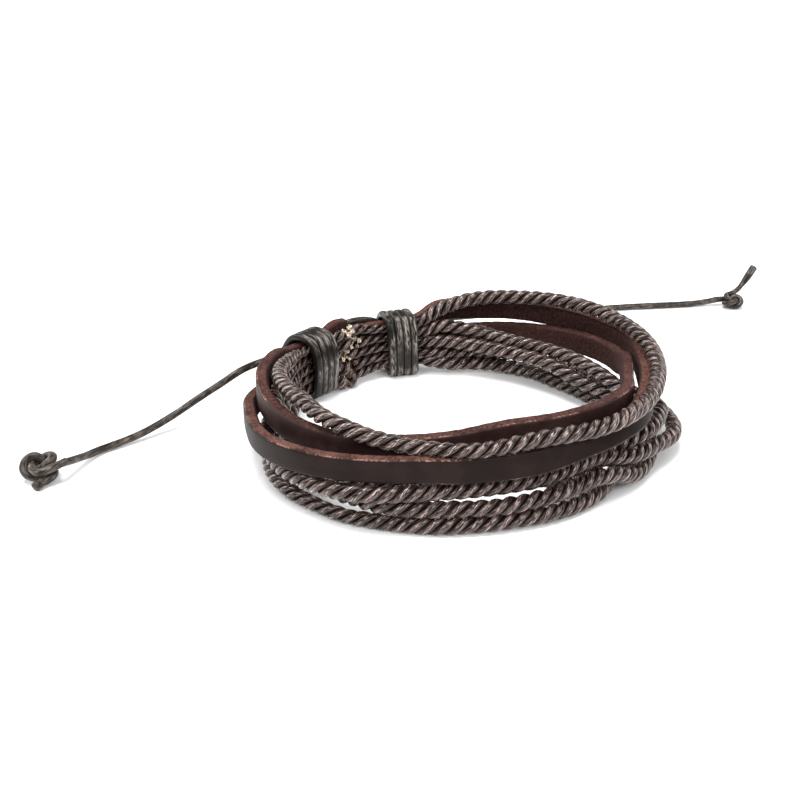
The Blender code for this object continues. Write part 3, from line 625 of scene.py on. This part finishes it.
def cut_strap(name, node_name, seed):
    """The strip along its measured line, with bumps on its two cut edges."""
    middles, *axes = strap_axes(read_rings(node_name))
    line, wide, through, half_wide, half_thick = fine_line(middles, STRAP_STEP, *axes)
    line = eased(line, node_name)[0]
    half_wide = half_wide * STRAP_WORN[node_name]
    along = unit(np.gradient(line, axis=0))
    through = unit(through - along * (through * along).sum(axis=1)[:, None])
    upright = np.cross(along, through)
    wide = upright * np.sign((upright * wide).sum(axis=1))[:, None]
    profile = strap_profile()
    way = distance_along(line)
    rings = []
    for i, w in enumerate(way):
        bumps = []
        for across, thick in profile:
            edge = max(0.0, abs(across) - STRAP_WIDTH / 2 + STRAP_CORNER) / STRAP_CORNER
            place = Vector((w * BUMPS_ALONG, thick * BUMPS_THROUGH, seed + (across > 0) * 9))
            small = SMALL_BUMPS[0] * noise.noise(place * SMALL_BUMPS[1])
            bumps.append(edge * EDGE_BUMP * (noise.noise(place) + small))
        across = profile[:, 0] * half_wide[i] / (STRAP_WIDTH / 2) + np.sign(profile[:, 0]) * bumps
        thick = profile[:, 1] * half_thick[i] / (STRAP_THICKNESS / 2)
        rings.append(line[i] + wide[i] * across[:, None] + through[i] * thick[:, None])
    round_the_strip = distance_along(np.vstack([profile, profile[:1]]))
    round_the_strip -= round_the_strip[-1] / 2
    return rolled_skin(name, np.array(rings), way, STRAP_THICKNESS / 2, round_the_strip)


straps = {n: cut_strap(f"leather_{n}", n, seed) for seed, n in enumerate(("strap_inner", "strap_outer"))}
print("Straps:", {n: len(s.data.polygons) for n, s in straps.items()})

# %% [markdown]
# ## Finishes
#
# Every finish is mixed from the same few nodes, so one small class keeps the recipes short. It wraps a
# socket: sums and products of wrapped sockets add Math nodes, and its method node adds any other kind.
# A colour is red, green, blue and how solid it is, each from 0 to 1.

# %% A socket that can be calculated with
class Socket:
    """The output of a node, used like a number."""

    def __init__(self, tree, output=None):
        self.tree = tree
        self.output = output

    def node(self, kind, settings=None, out=0, **inputs):
        """Adds a node. Its inputs are given by name, or by number after an underscore."""
        made = self.tree.nodes.new(kind)
        for setting, value in (settings or {}).items():
            setattr(made, setting, value)
        for socket, value in inputs.items():
            socket = int(socket[1:]) if socket[0] == "_" else socket.replace("_", " ")
            if isinstance(value, Socket):
                self.tree.links.new(value.output, made.inputs[socket])
            else:
                made.inputs[socket].default_value = value
        return Socket(self.tree, made.outputs[out])

    def maths(self, operation, *values):
        numbered = {f"_{i}": value for i, value in enumerate(values)}
        return self.node("ShaderNodeMath", {"operation": operation}, **numbered)

    def __add__(self, other):
        return self.maths("ADD", self, other)

    def __sub__(self, other):
        return self.maths("SUBTRACT", self, other)

    def __rsub__(self, other):
        return self.maths("SUBTRACT", other, self)

    def __mul__(self, other):
        return self.maths("MULTIPLY", self, other)

    __radd__ = __add__

    def between(self, low, high):
        """0 below low, 1 above high, and a soft step from one to the other."""
        return self.node("ShaderNodeMapRange", {"interpolation_type": "SMOOTHSTEP"},
                         Value=self, From_Min=low, From_Max=high)

    def mixed(self, first, second):
        """The first colour where this is 0, and the second where it is 1."""
        return self.node("ShaderNodeMix", {"data_type": "RGBA"}, out=2, _0=self, _6=first, _7=second)


def new_finish(name):
    """An empty material: its start for recipes and its shader."""
    material = bpy.data.materials.new(name)
    material.use_nodes = True
    tree = material.node_tree
    tree.nodes.clear()
    surface = tree.nodes.new("ShaderNodeOutputMaterial")
    shader = tree.nodes.new("ShaderNodeBsdfPrincipled")
    tree.links.new(shader.outputs[0], surface.inputs[0])
    return material, Socket(tree), shader


def connect(shader, **values):
    """Sets the shader's sockets, with a link where the value is one."""
    for socket, value in values.items():
        socket = shader.inputs[socket.replace("_", " ")]
        if isinstance(value, Socket):
            value.tree.links.new(value.output, socket)
        else:
            socket.default_value = value


def skin_map(start):
    """The way round and the way along, from the skin's own map."""
    uv = start.node("ShaderNodeUVMap", {"uv_map": "UVMap"})
    parts = start.node("ShaderNodeSeparateXYZ", Vector=uv)
    return parts, Socket(start.tree, parts.output.node.outputs[1])


def streaks(start, around, along, across_scale, along_scale, shift=0.0):
    """Noise drawn out along the strand. It is read on a circle, so it closes round the strand. A shift
    reads it somewhere else, for a second set of streaks."""
    turn = around * (2 * math.pi)
    place = start.node("ShaderNodeCombineXYZ", X=start.maths("COSINE", turn) * across_scale,
                       Y=start.maths("SINE", turn) * across_scale, Z=along * along_scale + shift)
    return start.node("ShaderNodeTexNoise", Vector=place, Scale=1.0, Detail=3.0, Roughness=0.55)


OBJECT_PLACE = 3        # the coordinate node's output for a place in the piece's own space


def speckle(start, scale, detail, roughness=0.5):
    """Noise that is alike in all directions."""
    place = start.node("ShaderNodeTexCoord", out=OBJECT_PLACE)
    return start.node("ShaderNodeTexNoise", Vector=place, Scale=scale, Detail=detail, Roughness=roughness)


# %% [markdown]
# ## The ropes' finish
#
# The plies are waxed. Their grooves are coloured nearly black, as painted shade between the plies. Fine
# fibres run along each ply. Its crest is a lighter brown with pale streaks, which are partly wear and
# partly
# a painted highlight. The crests alone have a glossy coat of wax, on which a lamp draws thin pale marks:
# those slanting marks are what makes a twisted rope look like one. The grooves hardly reflect, so that the
# bright table doesn't turn them grey.

# %% Waxed rope
YARNS = 5                       # in each ply
YARN_TURNS = 160                # per metre
FIBRE_STREAKS = (2.6, 420.0)    # how fine they are round the ply and along it
FINE_STREAKS = (7.0, 900.0)
PATCH_SCALE = 150.0
# painted shade: the near-black colour of the grooves between the plies
PAINTED_GROOVE_SHADE = (0.004, 0.0018, 0.0014, 1)
DULL_CREST = (0.064, 0.034, 0.029, 1)
WAXY_CREST = (0.118, 0.073, 0.063, 1)
# pale streaks on the crests: partly wear, partly a painted highlight
WORN_AND_HIGHLIGHT_CREST = (0.60, 0.50, 0.46, 1)


def rope_finish():
    material, start, shader = new_finish("waxed_rope")
    around, along = skin_map(start)
    crest = (1 - start.maths("ABSOLUTE", around * 2 - 1)).between(0.32, 1.0)
    yarns = start.maths("ABSOLUTE", start.maths("SINE", (around * YARNS + along * YARN_TURNS) * math.pi))
    fibres = streaks(start, around, along, *FIBRE_STREAKS)
    fine = streaks(start, around, along, *FINE_STREAKS, shift=31.0)
    patches = speckle(start, PATCH_SCALE, 2.0)
    # where crest is 0, in the groove, the colour is the painted groove shade
    tone = (fibres * 0.6 + fine * 0.4).between(0.33, 0.68) * crest
    pale = patches.between(0.35, 0.65).mixed(DULL_CREST, WAXY_CREST)
    # mask of the pale crest streaks: wear and a painted highlight
    wear_and_highlight = (fine * 0.7 + fibres * 0.3).between(0.53, 0.64) * crest * crest
    colour = wear_and_highlight.mixed(tone.mixed(PAINTED_GROOVE_SHADE, pale), WORN_AND_HIGHLIGHT_CREST)
    relief = start.node("ShaderNodeBump", Strength=0.7, Distance=0.00012,
                        Height=yarns * 0.4 + fibres * 0.6 + fine * 0.3)
    connect(shader, Base_Color=colour, Roughness=0.6 - crest * 0.36, Normal=relief,
            Specular_IOR_Level=0.12, Specular_Tint=(1.0, 0.90, 0.86, 1), Coat_Weight=crest * 0.9,
            Coat_Roughness=0.17, Coat_Tint=(1.0, 0.95, 0.92, 1))
    return material


def cut_finish(name, dark, pale, scale, detail, dark_below, pale_above, strength):
    """A raw cut: rough, dull and speckled."""
    material, start, shader = new_finish(name)
    grain = speckle(start, scale, detail)
    colour = grain.between(dark_below, pale_above).mixed(dark, pale)
    relief = start.node("ShaderNodeBump", Strength=strength, Distance=0.0002, Height=grain)
    connect(shader, Base_Color=colour, Roughness=0.85, Normal=relief)
    return material


FIBRE_GRAIN = {"scale": 4200.0, "detail": 3.0, "dark_below": 0.36, "pale_above": 0.60, "strength": 0.8}
rope_look = rope_finish()
raw_cut_look = cut_finish("raw_fibre", (0.24, 0.15, 0.11, 1), (0.90, 0.78, 0.62, 1), **FIBRE_GRAIN)
dark_cut_look = cut_finish("dark_fibre", (0.05, 0.025, 0.018, 1), (0.26, 0.16, 0.11, 1), **FIBRE_GRAIN)
print("Finishes:", rope_look.name, raw_cut_look.name, dark_cut_look.name)

# %% [markdown]
# ## The straps' finish
#
# The faces are smooth brown leather with fine pores and a soft sheen. The cut edges are rougher and
# redder, because the dye doesn't cover the fibres inside the hide. Pale patches along the corners of the
# outer face are partly wear and partly a painted highlight. The inner face is the hide's fleshy side. Which
# part of the strip a place belongs to is read from the skin's map: the way round runs in metres from the
# middle of the outer face.

# %% Leather
EDGE_STARTS = (0.0021, 0.0024)      # each of these is a soft step: where it begins and where it ends
EDGE_ENDS = (0.0035, 0.0038)
FLESH_STARTS = (0.0036, 0.0040)
CORNER_STARTS = (0.00195, 0.0021)
CORNER_ENDS = (0.0022, 0.00235)
MOTTLE_SCALE = 260.0
FIBRE_SCALE = 2300.0
PORE_SCALE = 5200.0
FLESH_DARK = (0.020, 0.0085, 0.007, 1)
FLESH_PALE = (0.062, 0.028, 0.024, 1)
# pale corner patches: partly wear, partly a painted highlight
WEAR_AND_HIGHLIGHT_CORNER = (0.30, 0.165, 0.14, 1)


def leather_finish(name, face_dark, face_pale, edge_dark, edge_pale):
    material, start, shader = new_finish(name)
    from_middle = start.maths("ABSOLUTE", skin_map(start)[0])
    edge = from_middle.between(*EDGE_STARTS) * (1 - from_middle.between(*EDGE_ENDS))
    flesh = from_middle.between(*FLESH_STARTS)
    mottle = speckle(start, MOTTLE_SCALE, 4.0)
    fibre = speckle(start, FIBRE_SCALE, 4.0, 0.65)
    pores = start.node("ShaderNodeTexVoronoi", Scale=PORE_SCALE,
                       Vector=start.node("ShaderNodeTexCoord", out=OBJECT_PLACE))
    face = mottle.between(0.35, 0.68).mixed(face_dark, face_pale)
    raw = (fibre * 0.7 + mottle * 0.3).between(0.36, 0.66).mixed(edge_dark, edge_pale)
    back = fibre.between(0.35, 0.75).mixed(FLESH_DARK, FLESH_PALE)
    # patchy pale line on the outer face's corners: wear and a painted highlight
    corner = (from_middle.between(*CORNER_STARTS) * (1 - from_middle.between(*CORNER_ENDS))
              * mottle.between(0.42, 0.6) * fibre.between(0.4, 0.6))
    colour = corner.mixed(edge.mixed(flesh.mixed(face, back), raw), WEAR_AND_HIGHLIGHT_CORNER)
    roughness = 0.46 + mottle * 0.12 + edge * 0.3 + flesh * 0.25
    grain = start.node("ShaderNodeBump", Strength=0.25, Distance=0.00006, Height=pores)
    relief = start.node("ShaderNodeBump", Strength=0.7, Distance=0.00025, Normal=grain,
                        Height=fibre * (edge + flesh * 0.4))
    connect(shader, Base_Color=colour, Roughness=roughness, Normal=relief, Specular_IOR_Level=0.16,
            Specular_Tint=(1.0, 0.82, 0.78, 1))
    return material


leather_looks = {
    "strap_outer": leather_finish(
        "dark_leather",
        face_dark=(0.006, 0.003, 0.0026, 1), face_pale=(0.012, 0.0065, 0.0058, 1),
        edge_dark=(0.034, 0.013, 0.010, 1), edge_pale=(0.160, 0.074, 0.058, 1)),
    "strap_inner": leather_finish(
        "red_brown_leather",
        face_dark=(0.020, 0.009, 0.008, 1), face_pale=(0.036, 0.018, 0.016, 1),
        edge_dark=(0.020, 0.007, 0.006, 1), edge_pale=(0.100, 0.044, 0.036, 1)),
}
cut_leather_look = cut_finish("cut_leather", (0.10, 0.045, 0.035, 1), (0.46, 0.27, 0.22, 1), scale=2600.0,
                              detail=4.0, dark_below=0.35, pale_above=0.65, strength=0.7)
print("Finishes:", [look.name for look in leather_looks.values()], cut_leather_look.name)

# %% [markdown]
# ## The waxed cord's finish
#
# The cord is a greyer brown. Its yarns are pressed flat by wax: they show as faint streaks that turn
# slowly round it, with rubbed, lighter places between them. In the windings the streaks run straight
# along the cord, and the lighter places are kept to the side that faces away from the bundle. There they
# are wear and a painted highlight along the crest of each turn.

# %% Waxed cord
# a winding's painted highlight lies along this side
OUTSIDE = 0.25          # where a winding's map faces away from the bundle, as a share of the way round
OUTSIDE_NARROWNESS = 6
YARN_STREAKS = (2.2, 190.0)
THREAD_STREAKS = (6.5, 1100.0)


def cord_finish(name, dark, pale, wear_and_highlight, turns_per_metre, wear_scale, wear_and_highlight_outside=False):
    material, start, shader = new_finish(name)
    around, along = skin_map(start)
    reach = 1
    # on a winding the lighter places stay on its outer crest: wear and a painted highlight
    if wear_and_highlight_outside:
        reach = (1 - start.maths("ABSOLUTE", around - OUTSIDE) * OUTSIDE_NARROWNESS).between(0, 1)
    turned = around + along * turns_per_metre
    yarns = streaks(start, turned, along, *YARN_STREAKS)
    threads = streaks(start, turned, along, *THREAD_STREAKS, shift=17.0)
    wear = speckle(start, wear_scale, 1.0)
    tone = (yarns * 0.6 + threads * 0.4).between(0.40, 0.62)
    wear_and_highlight_mask = wear.between(0.40, 0.60) * (yarns * 0.4 + threads * 0.6).between(0.44, 0.62) * reach
    colour = wear_and_highlight_mask.mixed(tone.mixed(dark, pale), wear_and_highlight)
    relief = start.node("ShaderNodeBump", Strength=0.45, Distance=0.0001,
                        Height=yarns * 0.6 + threads * 0.4)
    connect(shader, Base_Color=colour, Roughness=0.36 - tone * 0.14, Normal=relief,
            Specular_IOR_Level=0.24)
    return material


winding_look = cord_finish(
    "winding_cord", dark=(0.0035, 0.0027, 0.0022, 1), pale=(0.022, 0.0175, 0.014, 1),
    wear_and_highlight=(0.36, 0.315, 0.275, 1), turns_per_metre=0, wear_scale=260.0, wear_and_highlight_outside=True)
cord_look = cord_finish(
    "waxed_cord", dark=(0.007, 0.0048, 0.0036, 1), pale=(0.038, 0.029, 0.023, 1),
    wear_and_highlight=(0.14, 0.116, 0.096, 1), turns_per_metre=45, wear_scale=700.0)
print("Finishes:", winding_look.name, cord_look.name)

# %% [markdown]
# ## What each piece stands for
#
# Every finished piece rides on the bracelet's one body, takes the place of its measured part in the
# picture, and gets its finish: the first one for the skin and the second one for its cut ends. The cut
# ends of three ropes are pale raw fibre, and those of the two lowest are dark brown.

# %% Dress the bracelet
def dress(piece, node_name, look, cut=None):
    piece.data.materials.clear()
    piece.data.materials.append(look)
    piece.data.materials.append(cut or look)
    is_cut = np.zeros(len(piece.data.polygons), bool)
    piece.data.attributes["cut"].data.foreach_get("value", is_cut)
    piece.data.polygons.foreach_set("material_index", is_cut.astype(int))
    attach(piece, "root")
    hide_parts(node_name)


# the cut ends of these two ropes are dark brown
DARK_CUT_ROPES = ("rope_fourth", "rope_fifth")
for node_name, rope in ropes.items():
    cut_look = dark_cut_look if node_name in DARK_CUT_ROPES else raw_cut_look
    dress(rope, node_name, rope_look, cut_look)
for node_name, strap in straps.items():
    dress(strap, node_name, leather_looks[node_name], cut_leather_look)
for side in ("left", "right"):
    dress(windings[side], f"binding_{side}", winding_look)
    dress(drawcords[side], f"drawcord_{side}", cord_look)
    dress(knots[side], f"knot_{side}", cord_look)
    tail, line = tails[side]
    dress(tail, f"tail_{side}", cord_look)

# %% [markdown]
# ## Floor and light
#
# The bracelet was photographed on plain white and hardly throws a shadow, yet its wax shines in crisp
# small marks. A dim even sky and five far lamps do both. The strongest lamp stands nearly overhead and
# looks the smallest, so it draws the marks. Two wide ones behind and two in front fill the shadows that
# the others throw.

# %% Floor and light
FLOOR_SIZE = 6.0
TABLE_WHITE = (0.92, 0.92, 0.92, 1)
SKY_STRENGTH = 0.2
LAMPS = [                           # direction to the lamp, strength, how wide it looks in degrees
    ((-0.12, -0.05, 0.99), 3.0, 26),
    ((-0.74, 0.48, 0.47), 1.5, 45),
    ((0.62, 0.50, 0.60), 1.2, 45),
    ((-0.50, -0.60, 0.62), 1.6, 30),
    ((0.55, -0.58, 0.60), 1.6, 30),
]
deselect_all()
bpy.ops.mesh.primitive_plane_add(size=FLOOR_SIZE, location=(0, 0, 0))
floor = bpy.context.object
floor.name = "floor"
floor_material, _, floor_shader = new_finish("white_table")
connect(floor_shader, Base_Color=TABLE_WHITE, Roughness=0.9, Specular_IOR_Level=0.1)
floor.data.materials.append(floor_material)

sky = bpy.data.worlds.new("soft_sky")
sky.use_nodes = True
sky.node_tree.nodes["Background"].inputs["Color"].default_value = (1, 1, 1, 1)
sky.node_tree.nodes["Background"].inputs["Strength"].default_value = SKY_STRENGTH
bpy.context.scene.world = sky

for number, (towards, strength, width) in enumerate(LAMPS):
    light = bpy.data.lights.new(f"lamp_{number}", "SUN")
    light.energy = strength
    light.angle = math.radians(width)
    lamp = bpy.data.objects.new(light.name, light)
    lamp.rotation_euler = Vector(towards).to_track_quat("Z", "Y").to_euler()
    bpy.context.scene.collection.objects.link(lamp)
print("Lamps:", len(LAMPS), "sky", SKY_STRENGTH)
